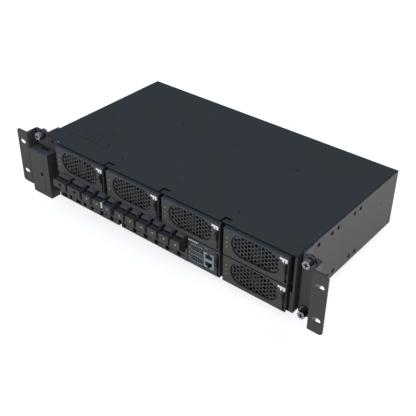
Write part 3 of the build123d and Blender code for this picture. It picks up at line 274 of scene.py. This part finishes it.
# Status lights: three small green lenses at the left of each rectifier's face.
# They are moulded of clear tinted plastic and pressed into the case over diodes.
def lens(name, colour, glow):
    """A tinted clear lens that glows a little from the diode behind it."""
    cloud_mm = 0.8
    dimmer_share = 0.8
    material = bpy.data.materials.new(name)
    material.use_nodes = True
    tree = material.node_tree
    shader = tree.nodes["Principled BSDF"]
    shader.inputs["Roughness"].default_value = 0.35
    shader.inputs["Specular IOR Level"].default_value = 0.2
    shader.inputs["Emission Strength"].default_value = glow
    place = tree.nodes.new("ShaderNodeTexCoord")
    cloud = tree.nodes.new("ShaderNodeTexNoise")
    cloud.inputs["Scale"].default_value = 1 / (cloud_mm * MM)
    tint = tree.nodes.new("ShaderNodeMix")
    tint.data_type = "RGBA"
    tint.inputs["A"].default_value = tuple(c * dimmer_share for c in colour[:3]) + (1.0,)
    tint.inputs["B"].default_value = colour
    tree.links.new(place.outputs["Object"], cloud.inputs["Vector"])
    tree.links.new(cloud.outputs["Fac"], tint.inputs["Factor"])
    tree.links.new(tint.outputs["Result"], shader.inputs["Base Color"])
    tree.links.new(tint.outputs["Result"], shader.inputs["Emission Color"])
    return material


green_lens = lens("green_lens", srgb(104, 142, 64), glow=0.34)
for rectifier in RECTIFIERS:
    dress(green_lens, f"{rectifier}_lights")


# Latch levers: black moulded levers, one in the slot at the right of each module.
# Each turns on a pin and locks its module to the cage.
lever_plastic = grained("lever_plastic", srgb(52, 53, 54), roughness=0.5, grain_mm=0.4, depth=0.15, specular=0.15)
for rectifier in RECTIFIERS:
    dress(lever_plastic, f"{rectifier}_latch_lever")
dress(lever_plastic, "controller_latch_lever")


# Latch catches: bright stamped steel heads on the levers, with a narrow gap between their legs painted as a dark
# stripe of shade.
# Bright zinc plate, with fine lines from rolling.
def plated(name, colour, roughness):
    """Zinc-plated steel: a metal with fine drawn lines and slight clouding."""
    return grained(name, colour, roughness, grain_mm=0.6, depth=0.08, specular=0.5, edge_mm=0.15, metallic=1.0)


GAP_SHARES = (0.66, 0.71)
GAP_HEIGHT_SHARE = 0.75
bright_zinc = plated("bright_zinc", srgb(218, 219, 220), roughness=0.35)
# Painted shade: a dark stripe between each catch's legs stands for the gap.
for rectifier in RECTIFIERS:
    low, high = box_mm(f"{rectifier}_latch_catch")
    width, height = high[0] - low[0], high[2] - low[2]
    paint(bright_zinc, srgb(70, 72, 74), (low[0] + GAP_SHARES[0] * width, low[1] - SKIN, low[2] - SKIN),
          (low[0] + GAP_SHARES[1] * width, high[1] + SKIN, low[2] + GAP_HEIGHT_SHARE * height))
    dress(bright_zinc, f"{rectifier}_latch_catch")


# Distribution plates: two folded sheets that stand on the tray's floor below the breakers.
# They are painted like the rectifiers' faces; painted shade lies over their backs and round their access holes.
PLATE_BACK_SHADE = ((-190.0, 1.08, -41.0), (62.0, 2.3, -20.0))
ACCESS_HOLES = (-99.9, -80.3, -56.0, -35.6, -15.2, 5.3, 24.9, 45.2)
ACCESS_Z = -35.3
ACCESS_HALF_WIDTH = 4.0
ACCESS_HALF_HEIGHT = 3.3
PLATE_FRONT = (0.5, 1.5)
plate_paint = grained("plate_paint", srgb(84, 84, 84), roughness=0.5, grain_mm=0.35, depth=0.12, specular=0.1)
# Painted shade: the plates' backs are painted dark, and a dark patch lies round each access hole.
paint(plate_paint, DARK, *PLATE_BACK_SHADE)
for x in ACCESS_HOLES:
    paint(plate_paint, srgb(34, 35, 36), (x - ACCESS_HALF_WIDTH, PLATE_FRONT[0], ACCESS_Z - ACCESS_HALF_HEIGHT),
          (x + ACCESS_HALF_WIDTH, PLATE_FRONT[1], ACCESS_Z + ACCESS_HALF_HEIGHT))
dress(plate_paint, "distribution_plates")


# Breakers: eleven sealed blocks of dark moulded plastic with no handles.
# Each narrow one has a lime light in its nose, and each wide one a bare round window.
BREAKER_BODIES_SHADE = ((-190.0, 2.4, -45.0), (60.0, 60.0, 0.3))
LIT_SHOULDER_TOPS = ((-190.0, -7.0, 0.2), (60.0, 1.5, 0.6))
SHOULDER_RECESS_SHADE = ((-190.0, -5.2, -4.3), (60.0, -3.6, -0.5))
SHADED_NOSE_TOPS = ((-190.0, -14.0, -3.0), (60.0, -6.0, -2.6))
SHADED_LAST_SIDE = ((58.8, -14.5, -20.0), (60.0, 1.5, 0.5))
WINDOWS = (-167.0, -137.1)
WINDOW_HALF_WIDTH = 2.6
WINDOW_DEPTH = (-15.6, -7.0)
WINDOW_HEIGHT = (-10.6, -6.2)
breaker_plastic = grained("breaker_plastic", srgb(86, 86, 86), roughness=0.5, grain_mm=0.4, depth=0.15, specular=0.08)
# Painted shade: the bodies behind the plates, seen only through the holes, are painted dark.
paint(breaker_plastic, DARK, *BREAKER_BODIES_SHADE)
# Painted light: the shoulder tops are painted lighter than the noses.
paint(breaker_plastic, srgb(122, 125, 128), *LIT_SHOULDER_TOPS)
# Painted shade: a dark band on each shoulder's front, under its top.
paint(breaker_plastic, srgb(34, 35, 36), *SHOULDER_RECESS_SHADE)
# Painted shade: a black patch round each wide breaker's window stands for its dark opening.
for x in WINDOWS:
    paint(breaker_plastic, BLACK, (x - WINDOW_HALF_WIDTH, WINDOW_DEPTH[0], WINDOW_HEIGHT[0]),
          (x + WINDOW_HALF_WIDTH, WINDOW_DEPTH[1], WINDOW_HEIGHT[1]))
# Painted shade: the nose tops are painted darker.
paint(breaker_plastic, srgb(52, 52, 52), *SHADED_NOSE_TOPS)
# Painted shade: the right side of the last breaker is painted darker.
paint(breaker_plastic, srgb(56, 56, 56), *SHADED_LAST_SIDE)
lime_lens = lens("lime_lens", srgb(150, 182, 62), glow=0.5)
dress(breaker_plastic, "breakers")
dress(lime_lens, "breaker_lights")


# Link clip: a bent strip of bright zinc-plated steel that joins two of the breakers.
# Its left edge and a notch near its middle are in shade.
SHADE = srgb(84, 86, 88)
SHADED_EDGE_SHARE = 0.34
NOTCH_WIDTH_SHARE = 0.7
NOTCH_HEIGHT_SHARES = (0.52, 0.66)
link_zinc = plated("link_zinc", srgb(210, 212, 214), roughness=0.35)
low, high = box_mm("breaker_link_clip")
width, height = high[0] - low[0], high[2] - low[2]
paint(link_zinc, SHADE, (low[0] - SKIN, low[1] - SKIN, low[2] - SKIN),
      (low[0] + SHADED_EDGE_SHARE * width, high[1] + SKIN, high[2] + SKIN))
paint(link_zinc, SHADE, (low[0] - SKIN, low[1] - SKIN, low[2] + NOTCH_HEIGHT_SHARES[0] * height),
      (low[0] + NOTCH_WIDTH_SHARE * width, high[1] + SKIN, low[2] + NOTCH_HEIGHT_SHARES[1] * height))
dress(link_zinc, "breaker_link_clip")


# Controller: a narrow module with a painted front and generic printed marks, two pluggable
# terminal strips and a pair of shielded jacks in one stamped shell.
PRINT = srgb(176, 178, 178)
SEAM = srgb(40, 41, 42)
TITLE_BAR = ((61.0, 0.9, -4.3), (76.8, 1.1, -1.9))
SMALL_PRINT = ((88.0, 0.9, -5.5), (93.4, 1.1, -4.1))
SEAMS = (((86.1, 0.9, -38.0), (86.8, 1.1, -5.0)), ((60.2, 0.9, -41.0), (60.9, 1.1, -1.0)))
TICK_ROWS = (((66.4, 0.9, -8.9), (85.5, 1.1, -7.3)), ((66.4, 0.9, -24.9), (85.5, 1.1, -23.6)))
TICK_PITCH = 3.28
TICK_SHARE = 0.42
LIGHT_LABELS = (-17.2, -25.1, -33.1)
LIGHT_LABEL_X = (62.6, 64.8)
LIGHT_LABEL_HEIGHT = 1.0
PRINT_Y = (0.9, 1.1)
front_print = grained("front_print", srgb(84, 84, 84), roughness=0.5, grain_mm=0.35, depth=0.12, specular=0.1)
paint(front_print, srgb(214, 215, 216), *TITLE_BAR, pitch=3.2, share=0.86)
paint(front_print, PRINT, *SMALL_PRINT, pitch=2.0, share=0.7)
for row in TICK_ROWS:
    paint(front_print, PRINT, *row, pitch=TICK_PITCH, share=TICK_SHARE)
for seam in SEAMS:
    paint(front_print, SEAM, *seam)
for low_z in LIGHT_LABELS:
    paint(front_print, PRINT, (LIGHT_LABEL_X[0], PRINT_Y[0], low_z),
          (LIGHT_LABEL_X[1], PRINT_Y[1], low_z + LIGHT_LABEL_HEIGHT))
STRIP_BOTTOMS = (-18.5, -34.5)
STRIP_X = (66.4, 85.5)
STRIP_TICK_HEIGHT = 1.7
CONTACT_LEFT_X = 67.6
CONTACT_Y = (-1.0, 1.2)
CONTACT_HEIGHT = (2.6, 5.4)
CONTACT_SHARE = 0.62
terminal_plastic = grained("terminal_plastic", srgb(96, 101, 104), roughness=0.45, grain_mm=0.4, depth=0.15,
                           specular=0.15)
for low_z in STRIP_BOTTOMS:
    paint(terminal_plastic, srgb(164, 168, 170), (STRIP_X[0], PRINT_Y[0], low_z),
          (STRIP_X[1], PRINT_Y[1], low_z + STRIP_TICK_HEIGHT), pitch=TICK_PITCH, share=TICK_SHARE)
    paint(terminal_plastic, srgb(48, 50, 52), (CONTACT_LEFT_X, CONTACT_Y[0], low_z + CONTACT_HEIGHT[0]),
          (STRIP_X[1], CONTACT_Y[1], low_z + CONTACT_HEIGHT[1]), pitch=TICK_PITCH, share=CONTACT_SHARE)
SHADED_SHELL_INSIDE = ((87.4, 1.0, -34.0), (103.6, 12.0, -10.0))
LIT_PORT_FLOORS = (-19.8, -31.0)
PORT_FLOOR_HEIGHT = 3.0
jack_shell = plated("jack_shell", srgb(132, 140, 144), roughness=0.5)
# Painted shade inside the jacks' shell, and painted light on the floor of each port.
paint(jack_shell, srgb(104, 110, 114), *SHADED_SHELL_INSIDE)
for low_z in LIT_PORT_FLOORS:
    paint(jack_shell, srgb(170, 173, 176), (SHADED_SHELL_INSIDE[0][0], SHADED_SHELL_INSIDE[0][1], low_z),
          (SHADED_SHELL_INSIDE[1][0], SHADED_SHELL_INSIDE[1][1], low_z + PORT_FLOOR_HEIGHT))
dress(front_print, "controller_case")
dress(terminal_plastic, "controller_terminals")
dress(jack_shell, "controller_jacks")
dress(green_lens, "controller_lights")


# Mains inlet: a blank plate beside the first rectifier, a terminal block on the bracket's
# flange and a moulded cover over it, with a slot in its top and a screw hole in its front.
COVER_TOP_SKYLIGHT = ((-245.3, -1.9, 18.9), (-205.5, 14.7, 19.1))
COVER_INSIDE_SHADE = ((-245.0, -1.7, -53.5), (-205.8, 14.7, 18.97))
COVER_HOLE_SHADE = ((-224.1, -2.1, -20.5), (-219.7, 0.5, -14.7))
TOP_RECESS_SHADE = ((-231.0, 8.6, 18.9), (-216.2, 14.7, 19.1))
TOP_SLOT_SHADE = ((-231.4, 8.3, 18.0), (-224.2, 10.1, 19.1))
BLANK_HOLE_SHADE = ((-212.7, 14.95, 31.2), (-207.5, 16.2, 36.3))
cover_plastic = grained("cover_plastic", srgb(88, 88, 88), roughness=0.55, grain_mm=0.5, depth=0.2, specular=0.08)
# Painted light: the cover's top is painted a lighter bluish grey, as lit from overhead.
paint(cover_plastic, srgb(100, 104, 108), *COVER_TOP_SKYLIGHT)
# Painted shade: the inside of the cover is painted dark.
paint(cover_plastic, DARK, *COVER_INSIDE_SHADE)
# Painted shade: a dark patch round the screw hole, larger than the hole.
paint(cover_plastic, DARK, *COVER_HOLE_SHADE)
# Painted shade: a darker patch at the top's right rear, where the cut-out lies in shade.
paint(cover_plastic, srgb(66, 68, 70), *TOP_RECESS_SHADE)
# Painted shade: the slot in the top and its edge are painted dark.
paint(cover_plastic, DARK, *TOP_SLOT_SHADE)
# Painted shade: the blank plate's coat is painted darker than the chassis coat.
blank_shaded_coat = grained("blank_shaded_coat", srgb(72, 74, 76), roughness=0.6, grain_mm=0.5, depth=0.25, specular=0.06)
# Painted shade: a dark patch round the blank plate's hole, larger than the hole.
paint(blank_shaded_coat, DARK, *BLANK_HOLE_SHADE)
connector_plastic = grained("connector_plastic", srgb(52, 54, 55), roughness=0.45, grain_mm=0.4, depth=0.15,
                            specular=0.2)
dress(blank_shaded_coat, "left_blank_plate")
dress(connector_plastic, "mains_terminal_block")
dress(cover_plastic, "mains_cover")


# Top cover: one flat coated sheet with angled slots over the dividers, riveted to the tray.
# Faint outlines stand in for the labels on it.
def ruled(material, colour, points, width):
    """Thin lines in plan through points given in millimetres."""
    tree = material.node_tree
    place = moved(tree, "MULTIPLY", tree.nodes["Texture Coordinate"].outputs["Object"], (1.0, 1.0, 0.0))
    for start, end in zip(points, points[1:]):
        span = Vector((end[0] - start[0], end[1] - start[1], 0.0)) * MM
        offset = moved(tree, "SUBTRACT", place.outputs[0], (start[0] * MM, start[1] * MM, 0.0))
        along = moved(tree, "DOT_PRODUCT", offset.outputs[0], tuple(span / span.length_squared))
        held = joined(tree, "MINIMUM", joined(tree, "MAXIMUM", along.outputs["Value"], 0.0), 1.0)
        foot = moved(tree, "SCALE", tuple(span))
        tree.links.new(held, foot.inputs["Scale"])
        away = moved(tree, "DISTANCE", offset.outputs[0], (0.0, 0.0, 0.0))
        tree.links.new(foot.outputs[0], away.inputs[1])
        tinted(material, joined(tree, "LESS_THAN", away.outputs["Value"], width / 2 * MM), colour)


LABEL_LINE = srgb(60, 61, 62)
FAINT_LINE = srgb(75, 76, 77)
BROAD = 0.9
FINE = 0.6
LABELS = (
    (LABEL_LINE, ((-201.4, 62.6), (-144.8, 62.8), (-145.1, 82.0)), BROAD),
    (LABEL_LINE, ((-199.3, 40.3), (-143.8, 42.1), (-123.5, 40.6), (-130.7, 55.6)), BROAD),
    (FAINT_LINE, ((130.4, 42.9), (126.8, 91.1)), FINE),
    (FAINT_LINE, ((114.4, 41.0), (199.5, 40.3), (200.8, 86.2)), FINE),
    (LABEL_LINE, ((-181.3, 54.4), (-152.2, 53.5)), FINE),
    (LABEL_LINE, ((-179.6, 42.0), (-151.3, 42.8)), FINE),
    (LABEL_LINE, ((-147.0, 42.7), (-146.8, 81.5)), FINE),
)
UNDERSIDE_SHADE = ((-219.5, 7.0, 41.0), (219.5, 252.5, 43.0))
RIGHT_BEND_SHADE = ((218.3, 7.0, 43.0), (220.6, 253.2, 43.2))
BRIGHT_SPOT = ((-194.5, 9.2, 43.0), (-189.0, 11.2, 43.2))
DIVIDER_GAPS = (-88.1, 13.3, 114.7)
SLOT_LEFT = 7.4
SLOT_BEND = 4.6
SLOT_Y = (7.0, 15.1, 17.9)
SHEET_Z = (42.0, 43.2)
cover_coat = grained("cover_coat", srgb(82, 83, 84), roughness=0.7, grain_mm=0.5, depth=0.25, specular=0.0)
for colour, points, width in LABELS:
    ruled(cover_coat, colour, points, width)
# Painted shade: the cover's underside and front edge are painted dark.
paint(cover_coat, srgb(34, 35, 36), *UNDERSIDE_SHADE)
# Painted shade: a darker bluish strip along the right edge stands for the bend.
paint(cover_coat, srgb(70, 72, 75), *RIGHT_BEND_SHADE)
# A small whitish spot is painted on the corner tab.
paint(cover_coat, srgb(190, 190, 188), *BRIGHT_SPOT)
# Painted shade: a dark L-shaped patch round each angled slot, wider than the slot, stands for its dark opening.
for gap_x in DIVIDER_GAPS:
    for front_y, right_x in ((SLOT_Y[0], gap_x - SLOT_BEND), (SLOT_Y[1], gap_x + SLOT_BEND)):
        paint(cover_coat, DARK, (gap_x - SLOT_LEFT, front_y, SHEET_Z[0]), (right_x, SLOT_Y[2], SHEET_Z[1]))
dress(cover_coat, "top_cover")


# Rack brackets: one folded strip at each side, screwed through its flange.
# The screws have hexagon heads with a cross recess, on a spring washer and a flat washer.
BRACKET_TOPS_SKYLIGHT = ((-268.0, -3.0, 44.3), (268.0, 40.0, 44.6))
WASHERS = ((-245.0, 12.25, -48.0), (245.0, 30.0, 48.0))
HEAD_SIDES_SHADE = ((-245.0, 6.3, -48.0), (245.0, 12.25, 48.0))
SCREWS = [(x, z) for x in (-232.5, 232.5) for z in (-38.2, 38.2)]
CROSS_DEPTH = (5.9, 7.9)
CROSS_REACH = 3.3
CROSS_HALF_WIDTH = 0.95
bracket_coat = grained("bracket_coat", srgb(88, 87, 86), roughness=0.58, grain_mm=0.5, depth=0.22, specular=0.08)
screw_zinc = plated("screw_zinc", srgb(142, 144, 147), roughness=0.4)
paint(screw_zinc, srgb(80, 82, 86), *WASHERS)
# Painted shade: the sides of the screw heads are painted a darker bluish grey than their fronts.
paint(screw_zinc, srgb(92, 98, 106), *HEAD_SIDES_SHADE)
# Painted shade: a wide dark cross on each head stands for the shade in its cross recess.
for x, z in SCREWS:
    for half_x, half_z in ((CROSS_REACH, CROSS_HALF_WIDTH), (CROSS_HALF_WIDTH, CROSS_REACH)):
        paint(screw_zinc, DARK, (x - half_x, CROSS_DEPTH[0], z - half_z), (x + half_x, CROSS_DEPTH[1], z + half_z))
# Painted light: the brackets' top edges take a darker cool bluish tone of the overhead light.
paint(bracket_coat, srgb(72, 76, 82), *BRACKET_TOPS_SKYLIGHT)
dress(bracket_coat, "left_rack_bracket", "right_rack_bracket")
dress(screw_zinc, "bracket_screws")


# Screw nuts: round zinc-plated nuts behind the brackets' flanges, one on each bracket screw.
# The photograph shows the upper ones past the flange's edge.
NUT_RADIUS = 7.4
NUT_DEPTH = 2.6
NUT_FRONT_Y = 18.95
NUT_SIDES = 40
nut_zinc = plated("nut_zinc", srgb(84, 92, 102), roughness=0.45)
nut_mesh = bpy.data.meshes.new("screw_nuts")
shape = bmesh.new()
for x, z in SCREWS:
    middle = Matrix.Translation((x * MM, (NUT_FRONT_Y + NUT_DEPTH / 2) * MM, z * MM))
    bmesh.ops.create_cone(shape, cap_ends=True, segments=NUT_SIDES, radius1=NUT_RADIUS * MM, radius2=NUT_RADIUS * MM,
                          depth=NUT_DEPTH * MM, matrix=middle @ Matrix.Rotation(pi / 2, 4, "X"))
shape.to_mesh(nut_mesh)
shape.free()
nut_mesh.materials.append(nut_zinc)
screw_nuts = bpy.data.objects.new("screw_nuts", nut_mesh)
bpy.context.scene.collection.objects.link(screw_nuts)
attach(screw_nuts, "chassis")


# Floor: a plain white sweep of paper under the object.
# It keeps only the object's own soft shadow.
FLOOR_SIZE = 6.0
FLOOR_GLOW = 0.78
FLOOR_COLOUR = (0.8, 0.8, 0.8, 1.0)
floor_height = cad_box[0][2]
floor_mesh = bpy.data.meshes.new("floor")
corner = FLOOR_SIZE / 2
floor_mesh.from_pydata([(x, y, floor_height) for x, y in
                        ((-corner, -corner), (corner, -corner), (corner, corner), (-corner, corner))],
                       [], [(0, 1, 2, 3)])
floor = bpy.data.objects.new("floor", floor_mesh)
bpy.context.scene.collection.objects.link(floor)


def seen_directly(tree):
    """1 for a ray that shows the background: from the camera, a gloss or a clear surface."""
    path = tree.nodes.new("ShaderNodeLightPath")
    total = path.outputs["Is Camera Ray"]
    for kind in ("Is Glossy Ray", "Is Transmission Ray"):
        either = tree.nodes.new("ShaderNodeMath")
        either.operation = "MAXIMUM"
        tree.links.new(total, either.inputs[0])
        tree.links.new(path.outputs[kind], either.inputs[1])
        total = either.outputs[0]
    return total


sweep_paper = bpy.data.materials.new("sweep_paper")
sweep_paper.use_nodes = True
tree = sweep_paper.node_tree
tree.nodes.clear()
matt = tree.nodes.new("ShaderNodeBsdfDiffuse")
matt.inputs["Color"].default_value = FLOOR_COLOUR
glow = tree.nodes.new("ShaderNodeEmission")
share = tree.nodes.new("ShaderNodeMath")
share.operation = "MULTIPLY"
share.inputs[1].default_value = FLOOR_GLOW
both = tree.nodes.new("ShaderNodeAddShader")
output = tree.nodes.new("ShaderNodeOutputMaterial")
tree.links.new(seen_directly(tree), share.inputs[0])
tree.links.new(share.outputs[0], glow.inputs["Strength"])
tree.links.new(matt.outputs[0], both.inputs[0])
tree.links.new(glow.outputs[0], both.inputs[1])
tree.links.new(both.outputs[0], output.inputs["Surface"])
floor_mesh.materials.append(sweep_paper)


# Studio light: an even surround, cool overhead and warm at the horizon, a large soft source
# level with the object at its right and a weaker one in front.
OVERHEAD_COLOUR = (0.40, 0.50, 0.64, 1.0)
LEVEL_COLOUR = (0.27, 0.255, 0.235, 1.0)
SOURCES = {
    "right_source": ((1.0, 0.5, 0.0), 4.35, (1.0, 0.955, 0.91), 12.0),
    "front_source": ((-0.05, -1.0, 0.0), 1.35, (1.0, 0.96, 0.91), 12.0),
}
world = bpy.data.worlds.new("studio")
bpy.context.scene.world = world
world.use_nodes = True
tree = world.node_tree
tree.nodes.clear()
direction = tree.nodes.new("ShaderNodeTexCoord")
height = tree.nodes.new("ShaderNodeSeparateXYZ")
tree.links.new(direction.outputs["Generated"], height.inputs[0])
shade = tree.nodes.new("ShaderNodeMix")
shade.data_type = "RGBA"
shade.inputs["A"].default_value = LEVEL_COLOUR
shade.inputs["B"].default_value = OVERHEAD_COLOUR
tree.links.new(height.outputs["Z"], shade.inputs["Factor"])
surround = tree.nodes.new("ShaderNodeBackground")
tree.links.new(shade.outputs["Result"], surround.inputs["Color"])
backdrop = tree.nodes.new("ShaderNodeBackground")
backdrop.inputs["Color"].default_value = (1.0, 1.0, 1.0, 1.0)
pick = tree.nodes.new("ShaderNodeMixShader")
output = tree.nodes.new("ShaderNodeOutputWorld")
tree.links.new(seen_directly(tree), pick.inputs[0])
tree.links.new(surround.outputs[0], pick.inputs[1])
tree.links.new(backdrop.outputs[0], pick.inputs[2])
tree.links.new(pick.outputs[0], output.inputs["Surface"])
for name, (towards, strength, colour, softness) in SOURCES.items():
    lamp = bpy.data.lights.new(name, "SUN")
    lamp.energy = strength
    lamp.color = colour
    lamp.angle = radians(softness)
    source = bpy.data.objects.new(name, lamp)
    source.rotation_mode = "QUATERNION"
    source.rotation_quaternion = Vector(towards).to_track_quat("Z", "Y")
    bpy.context.scene.collection.objects.link(source)


# Camera: above and to the right of the front, as the photograph was taken.
# Its place, turn and lens were fitted to the body's edges.
CAMERA_PLACE = (0.556384, -0.573036, 0.566578)
CAMERA_YAW = -0.679
CAMERA_PITCH = 0.603
CAMERA_ROLL = -0.010
CAMERA_LENS = 64.01
forward = Vector((sin(CAMERA_YAW) * cos(CAMERA_PITCH), cos(CAMERA_YAW) * cos(CAMERA_PITCH), -sin(CAMERA_PITCH)))
level = Vector((cos(CAMERA_YAW), -sin(CAMERA_YAW), 0.0))
down = forward.cross(level)
right = level * cos(CAMERA_ROLL) + down * sin(CAMERA_ROLL)
down = down * cos(CAMERA_ROLL) - level * sin(CAMERA_ROLL)
turn = Matrix((right, -down, -forward)).transposed().to_4x4()
lens_data = bpy.data.cameras.new("camera")
lens_data.lens = CAMERA_LENS
lens_data.clip_start = 0.05
camera = bpy.data.objects.new("camera", lens_data)
camera.matrix_world = Matrix.Translation(CAMERA_PLACE) @ turn
bpy.context.scene.collection.objects.link(camera)
bpy.context.scene.camera = camera
bpy.context.scene.view_settings.view_transform = "Standard"
